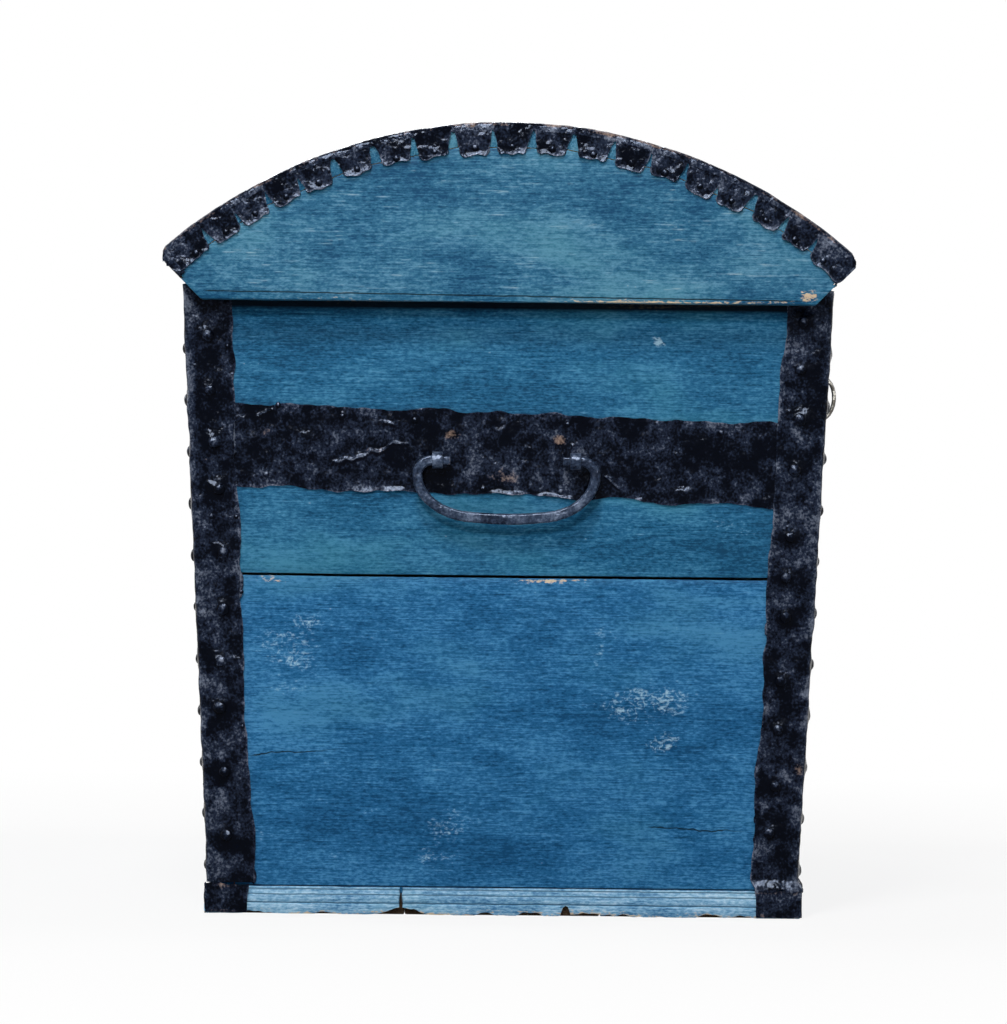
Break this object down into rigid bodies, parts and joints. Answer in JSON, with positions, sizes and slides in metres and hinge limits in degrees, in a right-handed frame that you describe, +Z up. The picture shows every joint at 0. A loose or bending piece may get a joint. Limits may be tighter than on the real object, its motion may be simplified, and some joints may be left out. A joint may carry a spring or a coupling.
{
  "type": "dome-top coffer",
  "caption": "Iron-bound painted coffer with inward-leaning walls, a hinged domed lid, a bail handle on each end and a key lock in the front.",
  "frame": {"origin": "centre of the underside of the floor, where the coffer rests", "axes": "+X along the coffer's length, with the pictured end at -X; -Y is the front, with the lock; +Z is up"},
  "size_m": [1.1966, 0.6827, 0.7618],
  "materials": {
    "blue_painted_wood": "worn satin paint",
    "pale_painted_wood": "worn satin paint",
    "bare_wood": "bare",
    "black_iron": "worn gloss paint",
    "forged_iron": "forged",
    "grey_iron": "worn"
  },
  "bodies": {
    "body": {"left_end_lower_board": "blue_painted_wood", "left_end_upper_board": "blue_painted_wood", "right_end_lower_board": "blue_painted_wood", "right_end_upper_board": "blue_painted_wood", "front_lower_board": "blue_painted_wood", "front_upper_board": "blue_painted_wood", "back_lower_board": "blue_painted_wood", "back_upper_board": "blue_painted_wood", "floor_board_1": "bare_wood", "floor_board_2": "bare_wood", "floor_board_3": "bare_wood", "plinth_front": "pale_painted_wood", "plinth_back": "pale_painted_wood", "plinth_left_front": "pale_painted_wood", "plinth_left_back": "pale_painted_wood", "plinth_right": "pale_painted_wood", "corner_strap_left_front": "black_iron", "corner_strap_left_back": "black_iron", "corner_strap_right_front": "black_iron", "corner_strap_right_back": "black_iron", "plinth_shoe_left_front": "black_iron", "plinth_shoe_left_back": "black_iron", "plinth_shoe_right_front": "black_iron", "plinth_shoe_right_back": "black_iron", "left_end_band": "black_iron", "right_end_band": "black_iron", "left_staple_front": "forged_iron", "left_staple_back": "forged_iron", "right_staple_front": "forged_iron", "right_staple_back": "forged_iron", "front_band_left": "black_iron", "front_band_right": "black_iron", "hinge_band_left": "black_iron", "hinge_band_right": "black_iron", "hinge_pin_left": "forged_iron", "hinge_pin_right": "forged_iron", "escutcheon": "black_iron", "lock_plate": "grey_iron", "lock_case": "grey_iron", "lock_spring": "grey_iron"},
    "lid": {"lid_stave_1": "blue_painted_wood", "lid_stave_2": "blue_painted_wood", "lid_stave_3": "blue_painted_wood", "lid_stave_4": "blue_painted_wood", "lid_stave_5": "blue_painted_wood", "lid_stave_6": "blue_painted_wood", "lid_stave_7": "blue_painted_wood", "lid_end_left": "blue_painted_wood", "lid_end_right": "blue_painted_wood", "lid_rail_front": "bare_wood", "lid_rail_back": "bare_wood", "lid_end_strap_left": "black_iron", "lid_end_strap_right": "black_iron", "lid_band_left": "black_iron", "lid_band_right": "black_iron", "lid_catch": "grey_iron"},
    "lock_bolt": {"lock_bolt": "grey_iron"},
    "key": {"key": "grey_iron"},
    "left_handle": {"left_handle": "forged_iron"},
    "right_handle": {"right_handle": "forged_iron"}
  },
  "joints": [
    {"name": "lid_hinge", "type": "hinge", "parent": "body", "child": "lid", "pos_m": [0, 0.3175, 0.606], "axis": [-1, 0, 0], "range_deg": [0, 110]},
    {"name": "key_turn", "type": "hinge", "parent": "body", "child": "key", "pos_m": [0, -0.30469, 0.5151], "axis": [0, 0.9989, 0.0479], "range_deg": [0, 180]},
    {"name": "bolt_slide", "type": "slide", "parent": "body", "child": "lock_bolt", "axis": [1, 0, 0], "range_m": [0, 0.018]},
    {"name": "left_handle_swing", "type": "hinge", "parent": "body", "child": "left_handle", "pos_m": [-0.56795, 0, 0.437], "axis": [0, 1, 0], "range_deg": [-5, 175]},
    {"name": "right_handle_swing", "type": "hinge", "parent": "body", "child": "right_handle", "pos_m": [0.56795, 0, 0.437], "axis": [0, -1, 0], "range_deg": [-5, 175]}
  ],
  "couplings": [
    {"joint": "key_turn", "follows": "bolt_slide", "rad_per_m": 174.5}
  ]
}
